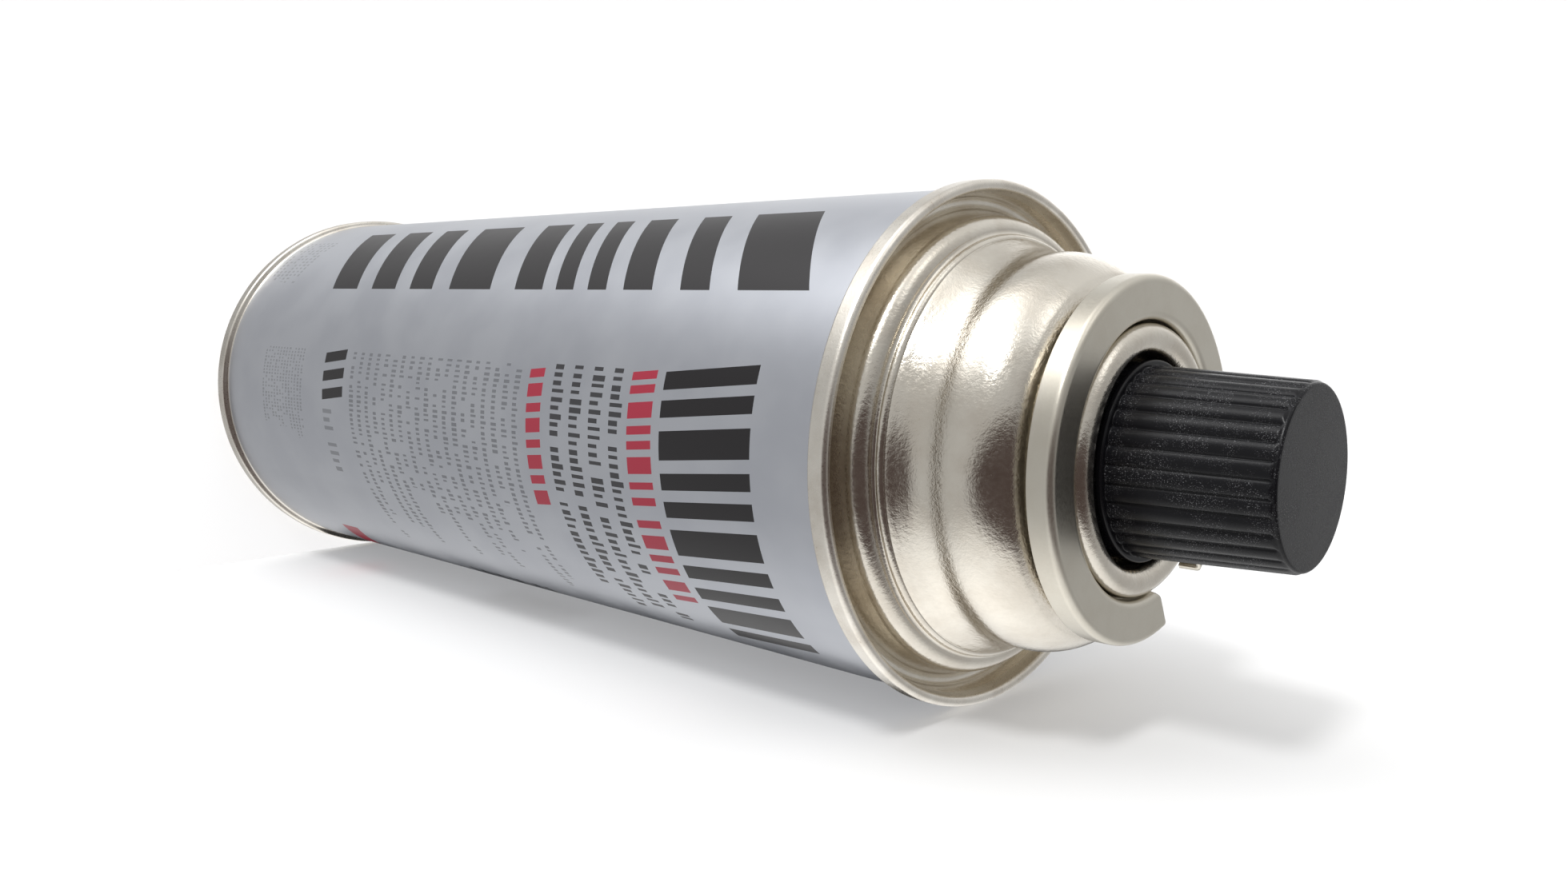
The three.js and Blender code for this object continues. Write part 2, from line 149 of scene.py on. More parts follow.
@dataclass
class Grid:
    """A closed surface on a grid of profile rows and turns.

    Attributes:
        points: array of rows, turns and three coordinates in millimetres.
        ring: True if the last row joins the first one.
        closed: True if the last turn joins the first one.
        low_pole, high_pole: points on the axis that close the first and last row.
        rows_slot: material index of each row.
        caps: True if the first and last turn are closed by a bridge from row to opposite row.
    """

    points: np.ndarray
    ring: bool = False
    closed: bool = True
    low_pole: Triple | None = None
    high_pole: Triple | None = None
    rows_slot: np.ndarray | None = None
    caps: bool = False

    def faces(self) -> tuple[np.ndarray, list[tuple[np.ndarray, np.ndarray]]]:
        """Corners and faces of the surface.

        Returns:
            Vertices in millimetres and a list of (face array, row of each face) blocks.
        """
        rows, turns = self.points.shape[:2]
        index = np.arange(rows * turns).reshape(rows, turns)
        i = np.arange(rows if self.ring else rows - 1)[:, None]
        j = np.arange(turns if self.closed else turns - 1)[None, :]
        i, j = np.broadcast_arrays(i, j)
        up, along = (i + 1) % rows, (j + 1) % turns
        quads = np.stack([index[i, j], index[i, along], index[up, along], index[up, j]], axis=-1)
        blocks = [(quads.reshape(-1, 4), i.reshape(-1))]
        vertices = [self.points.reshape(-1, 3)]
        count = rows * turns
        around = np.arange(turns)
        after = (around + 1) % turns
        if self.low_pole is not None:
            vertices.append(np.array([self.low_pole], float))
            fan = np.stack([np.full(turns, count), index[0, after], index[0, around]], axis=-1)
            blocks.append((fan, np.zeros(turns, int)))
            count += 1
        if self.high_pole is not None:
            vertices.append(np.array([self.high_pole], float))
            fan = np.stack([np.full(turns, count), index[-1, around], index[-1, after]], axis=-1)
            blocks.append((fan, np.full(turns, rows - 2)))
        if self.caps:
            outer = np.arange(rows // 2 - 1)
            inner = rows - 1 - outer
            for turn, flip in ((0, False), (turns - 1, True)):
                side = index[:, turn]
                bridge = np.stack([side[outer], side[outer + 1], side[inner - 1], side[inner]], axis=-1)
                blocks.append((bridge[:, ::-1] if flip else bridge, outer))
        return np.concatenate(vertices), blocks


def signed_area(profile: np.ndarray) -> float:
    """Twice the area that a profile encloses, positive if it runs anticlockwise."""
    r, z = profile.T
    return float(np.sum(r * np.roll(z, -1) - np.roll(r, -1) * z))


def turned(
    profile: np.ndarray,
    turns: int,
    slots: np.ndarray | None = None,
    depth: np.ndarray | None = None,
    wave: np.ndarray | None = None,
) -> Grid:
    """Turns a profile about the axis: point (r, z) becomes (r cos a, r sin a, z) for each angle a.

    Args:
        profile: rows of (radius, height); it starts and ends on the axis, or closes on itself.
        turns: number of steps round the axis.
        slots: material index of each profile row.
        depth: how far each row is pulled in where the wave is zero.
        wave: value from 0 to 1 for each angle; the radius is r - depth (1 - wave).

    Returns:
        The surface.
    """
    ring = profile[0, 0] > TINY
    if signed_area(profile) < 0:
        profile = profile[::-1]
        slots = None if slots is None else slots[::-1]
        depth = None if depth is None else depth[::-1]
    body = profile if ring else profile[1:-1]
    if not ring:
        slots = None if slots is None else slots[1:-1]
        depth = None if depth is None else depth[1:-1]
    angle = np.linspace(0, 2 * math.pi, turns, endpoint=False)
    radius = np.repeat(body[:, :1], turns, axis=1)
    if depth is not None:
        radius = radius - depth[:, None] * (1 - wave[None, :])
    height = np.repeat(body[:, 1:], turns, axis=1)
    points = np.stack([radius * np.cos(angle), radius * np.sin(angle), height], axis=-1)
    if ring:
        return Grid(points, ring=True, rows_slot=slots)
    low, high = (0.0, 0.0, float(profile[0, 1])), (0.0, 0.0, float(profile[-1, 1]))
    return Grid(points, low_pole=low, high_pole=high, rows_slot=slots)


def build(name: str, grid: Grid, materials: list, slot: Slot, body: str, *replaced: str) -> bpy.types.Object:
    """Makes the mesh of a piece, gives it its materials and puts it in the frame.

    Args:
        name: the piece's name.
        grid: its surface in millimetres.
        materials: Blender materials, in the order of the grid's row slots.
        slot: the record's material slot; not used.
        body: CAD body that it rides on.
        replaced: CAD nodes that it stands for.

    Returns:
        The object.
    """
    vertices, blocks = grid.faces()
    mesh = bpy.data.meshes.new(name)
    sizes = np.concatenate([np.full(len(f), f.shape[1]) for f, _ in blocks])
    corners = np.concatenate([f.reshape(-1) for f, _ in blocks])
    rows = np.concatenate([r for _, r in blocks])
    mesh.vertices.add(len(vertices))
    mesh.vertices.foreach_set("co", (vertices * MM).astype(np.float32).reshape(-1))
    mesh.loops.add(len(corners))
    mesh.loops.foreach_set("vertex_index", corners.astype(np.int32))
    mesh.polygons.add(len(sizes))
    starts = np.concatenate([[0], np.cumsum(sizes)[:-1]])
    mesh.polygons.foreach_set("loop_start", starts.astype(np.int32))
    mesh.polygons.foreach_set("use_smooth", np.ones(len(sizes), bool))
    for material in materials:
        mesh.materials.append(material)
    if grid.rows_slot is not None:
        mesh.polygons.foreach_set("material_index", grid.rows_slot[rows].astype(np.int32))
    mesh.update(calc_edges=True)
    mesh.validate()
    obj = bpy.data.objects.new(name, mesh)
    bpy.context.scene.collection.objects.link(obj)
    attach(obj, body)
    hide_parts(*replaced)
    LOG.info("%s: %d corners, %d faces", name, len(vertices), len(sizes))
    return obj


# Node graphs


class Graph:
    """Short hand for adding nodes to a material or world and joining them."""

    def __init__(self, tree: bpy.types.NodeTree) -> None:
        """Empties the tree and keeps it."""
        tree.nodes.clear()
        self.tree = tree

    def node(self, kind: str, inputs: dict | None = None, **settings: object) -> bpy.types.Node:
        """Adds a node.

        Args:
            kind: Blender's name of the node type.
            inputs: socket name or number to a value or a socket.
            settings: attributes of the node.

        Returns:
            The node.
        """
        made = self.tree.nodes.new(kind)
        for key, value in settings.items():
            setattr(made, key, value)
        for key, value in (inputs or {}).items():
            self.put(made.inputs[key], value)
        return made

    def put(self, target: Socket, value: Value) -> None:
        """Links a socket to a target, or sets the target's value."""
        if isinstance(value, Socket):
            self.tree.links.new(value, target)
        elif value is not None:
            target.default_value = value

    def math(self, operation: str, a: Value, b: Value = None, c: Value = None) -> Socket:
        """Result of a Math node."""
        made = self.node("ShaderNodeMath", operation=operation)
        for target, value in zip(made.inputs, (a, b, c)):
            self.put(target, value)
        return made.outputs[0]

    def vector(self, operation: str, a: Value, b: Value = None, value: bool = False) -> Socket:
        """Result of a Vector Math node; value asks for its number rather than its vector."""
        made = self.node("ShaderNodeVectorMath", operation=operation)
        self.put(made.inputs[0], a)
        self.put(made.inputs[1], b)
        return made.outputs["Value" if value else "Vector"]

    def combine(self, x: Value = 0.0, y: Value = 0.0, z: Value = 0.0) -> Socket:
        """Vector of three numbers or sockets."""
        return self.node("ShaderNodeCombineXYZ", {0: x, 1: y, 2: z}).outputs[0]

    def remap(
        self,
        value: Value,
        low: float,
        high: float,
        to_low: float = 0.0,
        to_high: float = 1.0,
        smooth: bool = True,
    ) -> Socket:
        """Maps a value from one range to another, smoothly if asked; the first range may run downwards."""
        if low > high:
            low, high, to_low, to_high = high, low, to_high, to_low
        kind = "SMOOTHSTEP" if smooth else "LINEAR"
        inputs = {"Value": value, "From Min": low, "From Max": high, "To Min": to_low, "To Max": to_high}
        return self.node("ShaderNodeMapRange", inputs, interpolation_type=kind, clamp=True).outputs["Result"]

    def mix(self, share: Value, a: Value, b: Value) -> Socket:
        """Mix of two colours."""
        made = self.node("ShaderNodeMix", data_type="RGBA")
        self.put(made.inputs["Factor"], share)
        for number, value in ((6, a), (7, b)):
            flat = (*value, 1.0) if isinstance(value, tuple) and len(value) == 3 else value
            self.put(made.inputs[number], flat)
        return made.outputs[2]

    def noise(self, vector: Value, scale: float, detail: float = 2.0, rough: float = 0.5) -> Socket:
        """Value of a noise texture."""
        inputs = {"Vector": vector, "Scale": scale, "Detail": detail, "Roughness": rough}
        return self.node("ShaderNodeTexNoise", inputs).outputs["Fac"]

    def white(self, vector: Value, output: str = "Value") -> Socket:
        """Random number for each whole vector, or three of them as a Color."""
        made = self.node("ShaderNodeTexWhiteNoise", {"Vector": vector}, noise_dimensions="3D")
        return made.outputs[output]

    def bump(self, height: Value, distance: float, strength: float = 1.0, normal: Value = None) -> Socket:
        """Normal of a bump in metres."""
        made = self.node("ShaderNodeBump", {"Height": height, "Distance": distance, "Strength": strength})
        self.put(made.inputs["Normal"], normal)
        return made.outputs["Normal"]

    def place(self) -> Socket:
        """Object coordinates."""
        return self.node("ShaderNodeTexCoord").outputs["Object"]


def new_material(name: str) -> tuple[bpy.types.Material, Graph]:
    """An empty node material and its graph."""
    material = bpy.data.materials.new(name)
    material.use_nodes = True
    return material, Graph(material.node_tree)


def surface(graph: Graph, **inputs: Value) -> None:
    """Ends a graph in a Principled shader; the names use _ for a blank."""
    named = {key.replace("_", " "): value for key, value in inputs.items()}
    for key, value in named.items():
        if isinstance(value, tuple) and len(value) == 3 and "Color" in key:
            named[key] = (*value, 1.0)
    shader = graph.node("ShaderNodeBsdfPrincipled", named)
    graph.node("ShaderNodeOutputMaterial", {"Surface": shader.outputs[0]})


# Finishes


@dataclass(frozen=True)
class SatinMetal:
    """Satin tin-coated steel with a fine orange-peel grain and faint handling marks."""

    name: str
    colour: Colour
    stain: Colour
    roughness: float = 0.2
    grain_mm: float = 0.5
    grain_height_mm: float = 0.03
    wave_height_mm: float = 0.12
    brush: float = 0.6
    wave_scale: float = 90.0
    cloud_scale: float = 160.0
    brush_scale: Pair = (60.0, 3500.0)

    def material(self) -> bpy.types.Material:
        """Builds the material."""
        material, graph = new_material(self.name)
        at = graph.place()
        grain = graph.noise(at, 1 / (self.grain_mm * MM), 2.0, 0.6)
        fine = graph.noise(at, 2.6 / (self.grain_mm * MM), 1.0, 0.5)
        wave = graph.noise(at, self.wave_scale, 2.0, 0.5)
        cloud = graph.noise(at, self.cloud_scale, 4.0, 0.6)
        x, y, z = graph.node("ShaderNodeSeparateXYZ", {0: at}).outputs
        around = graph.math("MULTIPLY", graph.math("ARCTAN2", y, x), self.brush_scale[0])
        along = graph.math("MULTIPLY", z, self.brush_scale[1])
        marks = graph.noise(graph.combine(around, along), 1.0, 3.0, 0.7)
        worn = graph.remap(marks, 0.58, 0.75, 0.0, self.brush)
        patch = graph.math("MULTIPLY", graph.remap(cloud, 0.45, 0.7), worn)
        tone = graph.mix(graph.remap(cloud, 0.35, 0.7, 0.0, 0.35), self.colour, self.stain)
        tone = graph.mix(patch, tone, self.stain)
        rough = graph.math("ADD", graph.remap(grain, 0.3, 0.7, -0.03, 0.05), self.roughness)
        rough = graph.math("MULTIPLY_ADD", patch, 0.2, rough)
        normal = graph.bump(wave, self.wave_height_mm * MM)
        normal = graph.bump(grain, self.grain_height_mm * MM, 1.0, normal)
        normal = graph.bump(fine, self.grain_height_mm * 0.35 * MM, 1.0, normal)
        surface(graph, Base_Color=tone, Metallic=1.0, Roughness=rough, Normal=normal)
        return material


@dataclass(frozen=True)
class GrainedPlastic:
    """Moulded plastic with a fine spark-eroded grain, and pale specks painted into its colour as painted
    glints.
    """

    name: str
    colour: Colour
    # colour of the painted glints: pale specks that stand for highlights
    painted_glint_colour: Colour
    roughness: float = 0.27
    grain_mm: float = 0.22
    grain_height_mm: float = 0.02
    glint: float = 0.4
    specular: float = 0.2
    cloud_scale: float = 260.0

    def material(self) -> bpy.types.Material:
        """Builds the material."""
        material, graph = new_material(self.name)
        at = graph.place()
        grain = graph.noise(at, 1 / (self.grain_mm * MM), 3.0, 0.65)
        specks = graph.noise(at, 1.9 / (self.grain_mm * MM), 0.0, 0.5)
        cloud = graph.noise(at, self.cloud_scale, 3.0, 0.6)
        # Painted highlight: pale specks, thinned out by a cloud, are mixed into the base colour as glints.
        lit = graph.math("MULTIPLY", graph.remap(specks, 0.66, 0.74), graph.remap(cloud, 0.4, 0.62))
        tone = graph.mix(graph.math("MULTIPLY", lit, self.glint), self.colour, self.painted_glint_colour)
        rough = graph.math("ADD", graph.remap(cloud, 0.3, 0.7, -0.05, 0.06), self.roughness)
        normal = graph.bump(grain, self.grain_height_mm * MM)
        surface(graph, Base_Color=tone, Roughness=rough, Specular_IOR_Level=self.specular, Normal=normal)
        return material


@dataclass(frozen=True)
class PlainMoulding:
    """Smooth moulded or extruded material with a slight mottle, such as acetal, rubber or drawn wire."""

    name: str
    colour: Colour
    shade: Colour
    roughness: float
    metallic: float = 0.0
    subsurface: float = 0.0
    mottle_scale: float = 420.0
    fine_scale: float = 5200.0

    def material(self) -> bpy.types.Material:
        """Builds the material."""
        material, graph = new_material(self.name)
        at = graph.place()
        mottle = graph.noise(at, self.mottle_scale, 3.0, 0.6)
        fine = graph.noise(at, self.fine_scale, 2.0, 0.6)
        tone = graph.mix(graph.remap(mottle, 0.35, 0.65), self.colour, self.shade)
        rough = graph.math("ADD", graph.remap(mottle, 0.3, 0.7, -0.05, 0.05), self.roughness)
        surface(
            graph,
            Base_Color=tone,
            Roughness=rough,
            Metallic=self.metallic,
            Subsurface_Weight=self.subsurface,
            Subsurface_Scale=0.001,
            Normal=graph.bump(fine, 0.004 * MM),
        )
        return material


@dataclass(frozen=True)
class Bars:
    """Upright or slanted bars between two heights or angles of the print.

    Attributes:
        up: True if the bars follow one another up the can, else round it.
        edges: start and end of one bar after another in millimetres, in order.
        band: lower and upper limit across the bars.
        slant: shift of a bar along its order for each millimetre across.
        ink: number of the ink.
    """

    up: bool
    edges: tuple[float, ...]
    band: Pair
    slant: float = 0.0
    ink: int = 0

    def reach(self) -> Pair:
        """Lowest and highest height that the bars can touch."""
        if not self.up:
            return self.band
        lean = abs(self.slant) * (self.band[1] - self.band[0]) / 2
        return self.edges[0] - lean, self.edges[-1] + lean

    def mask(self, graph: Graph, s: Socket, z: Socket) -> Socket:
        """Mask of the bars, from the distance round the can and the height in millimetres."""
        order, across = (z, s) if self.up else (s, z)
        low, high = self.band
        middle = (low + high) / 2
        if self.slant:
            order = graph.math("MULTIPLY_ADD", across, self.slant, order)
        start = self.edges[0] - 1.0
        span = self.edges[-1] + 1.0 - start
        offset = -(start + self.slant * middle) / span
        ramp = graph.node("ShaderNodeValToRGB", {0: graph.math("MULTIPLY_ADD", order, 1 / span, offset)})
        ramp.color_ramp.interpolation = "CONSTANT"
        stops = ramp.color_ramp.elements
        stops[0].position, stops[0].color = 0.0, (0, 0, 0, 1)
        stops[1].position, stops[1].color = 1.0, (0, 0, 0, 1)
        for number, edge in enumerate(self.edges):
            stops.new((edge - start) / span).color = (0, 0, 0, 1) if number % 2 else (1, 1, 1, 1)
        inside = graph.math("COMPARE", across, middle, (high - low) / 2)
        return graph.math("MULTIPLY", ramp.outputs[0], inside)


@dataclass(frozen=True)
class Strokes:
    """Rows of short strokes, which stand for small print and spell nothing.

    Attributes:
        z: lower and upper limit up the can.
        s: start and end round the can.
        rows: number of rows.
        pitch: distance between strokes.
        height: share of a row's pitch that the tallest strokes take.
        weight: share of a stroke's pitch that is inked.
        ragged: length by which rows end early.
        density: strength of the ink.
        ink: number of the ink.
        blanks: share of the strokes that are left out.
        short: share of the strokes that are short.
        short_height: height of a short stroke as a share of a tall one.
        vary: spread of the weight.
    """

    z: Pair
    s: Pair
    rows: int
    pitch: float
    height: float = 0.52
    weight: float = 0.5
    ragged: float = 0.0
    density: float = 0.9
    ink: int = 0
    blanks: float = 0.16
    short: float = 0.65
    short_height: float = 0.72
    vary: float = 0.3

    def reach(self) -> Pair:
        """Lowest and highest height of the rows."""
        return self.z

    def mask(self, graph: Graph, s: Socket, z: Socket) -> Socket:
        """Mask of the strokes, from the distance round the can and the height in millimetres."""
        step = (self.z[1] - self.z[0]) / self.rows
        up = graph.math("MULTIPLY_ADD", z, 1 / step, -self.z[0] / step)
        row, level = graph.math("FLOOR", up), graph.math("FRACT", up)
        cell = graph.math("MULTIPLY_ADD", s, 1 / self.pitch, -self.s[0] / self.pitch)
        number, lane = graph.math("FLOOR", cell), graph.math("FRACT", cell)
        random = graph.white(graph.combine(number, row, self.z[0]), "Color")
        draw = graph.node("ShaderNodeSeparateColor", {0: random})
        inked = graph.math("GREATER_THAN", draw.outputs[0], self.blanks)
        tall = graph.math("GREATER_THAN", draw.outputs[1], self.short)
        low = self.short_height * self.height
        top = graph.math("MULTIPLY_ADD", tall, self.height - low, low)
        wide = graph.math("MULTIPLY_ADD", draw.outputs[2], self.vary, self.weight - self.vary / 2)
        mask = graph.math("MULTIPLY", inked, graph.math("LESS_THAN", lane, wide))
        mask = graph.math("MULTIPLY", mask, graph.math("LESS_THAN", level, top))
        for place, (start, end) in ((z, self.z), (s, self.s)):
            inside = graph.math("COMPARE", place, (start + end) / 2, (end - start) / 2)
            mask = graph.math("MULTIPLY", mask, inside)
        if self.ragged:
            early = graph.white(graph.combine(row, self.z[0]))
            end = graph.math("MULTIPLY_ADD", early, -self.ragged, self.s[1])
            mask = graph.math("MULTIPLY", mask, graph.math("LESS_THAN", s, end))
        return graph.math("MULTIPLY", mask, self.density)


@dataclass(frozen=True)
class PrintedSteel:
    """Silver-grey satin lacquer with a generic print of bars and strokes.

    The print repeats twice round the can. The wall is divided into zones up the can, and each gets a
    material that holds only the print in its reach, as one material can hold only so many nodes.
    """

    silver: Colour = (0.535, 0.555, 0.605)
    silver_light: Colour = (0.58, 0.60, 0.645)
    inks: tuple[Colour, ...] = ((0.022, 0.020, 0.022), (0.50, 0.04, 0.075), (0.12, 0.125, 0.14))
    radius: float = 33.25
    zero_degrees: float = 322.0
    grain_mm: float = 0.4
    cloud_scale: float = 70.0
    zones: tuple[float, ...] = (3.0, 50.0, 101.5, 157.0)
    figures: tuple[Bars | Strokes, ...] = (
        Bars(
            up=True,
            edges=(
                28.5, 37.5, 42.5, 50.5, 55.5, 62.5, 67.5, 79.0, 85.5, 92.5, 96.0, 100.0, 103.5, 107.5,
                111.5, 117.5, 123.0, 128.5, 133.5, 146.0,
            ),
            band=(-33.0, -16.5),
            slant=-0.55,
        ),
        Bars(
            up=False,
            edges=(
                -5.8, -3.6, -2.2, 0.0, 1.6, 5.4, 7.0, 9.2, 10.8, 13.0, 14.6, 18.4, 20.0, 22.2, 23.8, 26.0,
                27.6, 31.4, 33.0, 35.2,
            ),
            band=(131.0, 147.3),
            slant=0.1,
        ),
        Bars(
            up=False,
            edges=(
                -5.0, -3.9, -3.1, -2.0, -1.0, 1.2, 2.1, 3.2, 4.1, 5.2, 6.2, 8.4, 9.4, 10.5, 11.5, 12.6,
                14.8, 15.9, 16.9, 19.0, 20.0, 21.1, 22.1, 23.2, 24.4, 26.4, 27.4, 28.5,
            ),
            band=(124.6, 129.4),
            slant=0.1,
            ink=1,
        ),
        Bars(
            up=False,
            edges=(
                -4.2, -3.0, -2.1, -0.3, 0.7, 1.9, 2.8, 4.8, 5.8, 7.0, 8.0, 10.0, 11.0, 12.2, 13.2, 15.4,
            ),
            band=(102.2, 105.6),
            slant=0.1,
            ink=1,
        ),
        Bars(up=False, edges=(-4.6, -2.8, -1.4, 0.4, 1.8, 3.6), band=(41.4, 48.6), slant=0.12),
        Bars(up=True, edges=(21.0, 27.0), band=(33.0, 42.0), slant=0.6, ink=1),
        Bars(
            up=True,
            edges=(
                60.0, 61.0, 61.8, 62.2, 63.2, 64.6, 65.4, 65.8, 66.8, 67.2, 68.0, 69.4, 70.2, 70.6, 71.6,
                72.6, 73.4, 74.8, 75.8, 76.2, 77.2, 77.6, 78.6, 80.0, 80.8, 81.2, 82.2, 83.2,
            ),
            band=(39.0, 49.0),
        ),
        # Strokes by z, s, rows, pitch, height, weight, ragged, density and ink
        Strokes((107.9, 125.1), (-5.0, 37.0), 4, 1.15, 0.6, 0.55, 9.0, 0.92),
        Strokes((51.0, 101.4), (-4.6, 34.0), 19, 0.8, 0.52, 0.52, 17.0, 0.7, 2),
        Strokes((18.0, 34.0), (-4.6, 12.0), 14, 0.6, 0.6, 0.6, 5.0, 0.5, 2),
        Strokes((5.0, 17.0), (-30.0, -16.5), 7, 0.9, 0.6, 0.55, 4.0, 0.45, 2),
        Strokes((41.4, 46.6), (5.6, 17.0), 1, 1.5, 0.6, 0.55, 0.0, 0.6, 2),
    )

    def materials(self) -> list[bpy.types.Material]:
        """Builds one material for each zone, from the lowest."""
        return [self.zone(low, high) for low, high in zip(self.zones[:-1], self.zones[1:])]

    def zone(self, low: float, high: float) -> bpy.types.Material:
        """Builds the material of the wall between two heights in millimetres."""
        material, graph = new_material(f"silver lacquer from {low:.0f} mm")
        at = graph.place()
        zero = math.radians(self.zero_degrees)
        front = graph.vector("DOT_PRODUCT", at, (math.cos(zero), math.sin(zero), 0.0), value=True)
        side = graph.vector("DOT_PRODUCT", at, (-math.sin(zero), math.cos(zero), 0.0), value=True)
        period = math.pi * self.radius
        around = graph.math("MULTIPLY", graph.math("ARCTAN2", side, front), self.radius)
        wrapped = graph.math("FRACT", graph.math("MULTIPLY_ADD", around, 1 / period, 0.5))
        s = graph.math("MULTIPLY_ADD", wrapped, period, -period / 2)
        z = graph.vector("DOT_PRODUCT", at, (0.0, 0.0, 1 / MM), value=True)
        masks: dict[int, Socket] = {}
        for figure in self.figures:
            bottom, top = figure.reach()
            if top > low and bottom < high:
                mask = figure.mask(graph, s, z)
                if figure.ink in masks:
                    mask = graph.math("MAXIMUM", masks[figure.ink], mask)
                masks[figure.ink] = mask
        cloud = graph.noise(at, self.cloud_scale, 3.0, 0.55)
        tone = graph.mix(graph.remap(cloud, 0.35, 0.65), self.silver, self.silver_light)
        printed = None
        for ink, mask in masks.items():
            tone = graph.mix(mask, tone, self.inks[ink])
            printed = mask if printed is None else graph.math("MAXIMUM", printed, mask)
        grain = graph.noise(at, 1 / (self.grain_mm * MM), 2.0, 0.5)
        rough = graph.remap(cloud, 0.3, 0.7, 0.33, 0.38)
        metallic = graph.math("MULTIPLY_ADD", printed, -0.65, 0.65)
        normal = graph.bump(grain, 0.0018 * MM)
        normal = graph.bump(printed, 0.004 * MM, 0.5, normal)
        surface(
            graph,
            Base_Color=tone,
            Metallic=metallic,
            Roughness=rough,
            Specular_IOR_Level=0.3,
            Coat_Weight=0.12,
            Coat_Roughness=0.25,
            Normal=normal,
        )
        return material


# Sub-assemblies


@dataclass
class Can:
    """Sealed can: printed wall between two double seams, concave base, stepped dome, neck and curl."""

    wall: float = 33.25
    seam: float = 34.25
    seam_height: float = 3.0
    seam_round: float = 0.7
    tuck: float = 0.6
    height: float = 160.0
    wall_hold: float = 0.1
    rise: float = 17.6
    flat: float = 19.2
    throat_top: float = 174.3
    well_radius: float = 6.0
    well_floor: float = 160.5
    turns: int = 256

    def tucked(self) -> np.ndarray:
        """Run from the lower seam's outside in to the wall; the upper seam has it upside down."""
        z = self.seam_height
        return np.array(
            [(self.seam, z - self.tuck), (self.seam - 0.22, z - 0.32), (self.wall + 0.22, z - 0.12)]
            + [(self.wall, z + self.wall_hold)]
        )

    def base(self) -> np.ndarray:
        """Concave end panel and standing seam, from the axis outwards."""
        rise, panel, panel_height = 10.5, 29.6, 5.0
        sag = rise - panel_height
        big = (panel**2 + sag**2) / (2 * sag)
        half = math.degrees(math.asin(panel / big))
        dish = arc(0, rise - big, big, 90, 90 - half, 14)
        dish[0, 0] = 0.0
        inner = self.seam - 3 * self.seam_round
        q = self.seam_round
        return join(
            dish,
            blend_curve(np.array([dish[-1], (30.9, 4.15), (31.68, 3.0), (inner, 1.6), (inner, q)]), 5),
            arc(inner + q, q, q, 180, 270, 8),
            line((inner + q, 0), (self.seam - q, 0)),
            arc(self.seam - q, q, q, 270, 360, 8),
            line((self.seam, q), (self.seam, self.seam_height - self.tuck)),
            blend_curve(self.tucked(), 4),
        )

    def dome(self) -> np.ndarray:
        """Upper seam, countersink, steps, leaning wall and shoulder, inwards to the flat under the collar."""
        h, q, seam = self.height, self.seam_round, self.seam
        sink, low, shoulder = 0.85, 2.1, 9.7
        inside = seam - 2 * q
        sink_centre = inside - 2 * q / 3 - 2 * sink + q
        sunk, flat = (sink_centre + sink, h - 3.5), (self.flat, h + self.rise)
        crease = [(27.83, h + 1.19), (27.55, h + 1.25), (27.34, h + 1.42), (27.29, h + 1.6)]
        low_wall = [(26.77, h + 2.35), (26.55, h + 2.8), (26.05, h + 3.7)]
        high_wall = [(25.35, h + 5.2), (24.92, h + 7.0), (25.0, h + 9.4)]
        bend = arc(25.0 - shoulder, h + 9.4, shoulder, 0, 43.7, 16)
        return join(
            blend_curve((self.tucked() * (1, -1) + (0, h))[::-1], 4),
            line((seam, h - self.seam_height + self.tuck), (seam, h - q)),
            arc(seam - q, h - q, q, 0, 180, 18),
            blend_curve(np.array([(inside, h - q), (32.72, h - 1.8), (32.32, h - 3.1), sunk]), 5),
            arc(sink_centre, h - 4.35 + sink, sink, 0, -180, 14),
            line((sink_centre - sink, h - 3.5), (29.75, h - 0.9)),
            arc(29.75 - low, h + 1.2 - low, low, 0, 85, 12),
            blend_curve(np.array(crease), 3),
            arc(27.3 - 0.8, h + 1.6, 0.8, 0, 70, 8),
            blend_curve(np.array(low_wall + high_wall), 5),
            bend,
            blend_curve(np.array([bend[-1], (21.3, h + 16.82), (20.4, h + 17.4), flat]), 5),
        )

    def throat(self) -> np.ndarray:
        """Neck and curl that carry the cup, then the open throat and the well round the valve housing."""
        top, centre, curl = self.height + self.rise, 14.75, 0.89
        neck, middle = centre + curl, self.height + 20.1
        well, floor = self.well_radius, self.well_floor
        return join(
            line((self.flat, top), (neck + 0.8, top)),
            arc(neck + 0.8, top + 0.8, 0.8, 270, 180, 6),
            line((neck, top + 0.8), (neck, middle)),
            arc(centre, middle, curl, 0, 180, 16),
            line((centre - curl, middle), (centre - curl, self.throat_top), (well, self.throat_top)),
            line((well, self.throat_top), (well, floor), (0.0, floor)),
        )

    def profile(self, zones: tuple[float, ...]) -> tuple[np.ndarray, np.ndarray]:
        """Whole outline and the material index of each row: a zone of the print, tinplate or seam."""
        wall_top = self.height - self.seam_height - self.wall_hold
        whole = join(
            self.base(),
            line((self.wall, self.seam_height + self.wall_hold), (self.wall, zones[1]), hold=0.4),
            line(*((self.wall, height) for height in zones[1:-1]), hold=0.4),
            line((self.wall, zones[-2]), (self.wall, wall_top), hold=0.4),
            self.dome(),
            self.throat(),
        )
        printed = (np.abs(whole[:, 0] - self.wall) < TINY) & (whole[:, 1] < wall_top - 0.01)
        zone = np.searchsorted(np.array(zones[1:-1]) - TINY, whole[:, 1], side="right")
        seam = whole[:, 0] > self.seam - 2.2 * self.seam_round
        seam &= np.minimum(np.abs(whole[:, 1]), np.abs(self.height - whole[:, 1])) < self.seam_height
        metal = np.where(seam, len(zones), len(zones) - 1)
        return whole, np.where(printed, zone, metal)

    def make(self, print_: PrintedSteel, *metals: bpy.types.Material) -> bpy.types.Object:
        """Builds the can; the metals are the bare tinplate and the scuffed seam."""
        outline, slots = self.profile(print_.zones)
        grid = turned(outline, self.turns, slots)
        return build("can_shell", grid, [*print_.materials(), *metals], Slot.CAN, "can_assembly", "can")


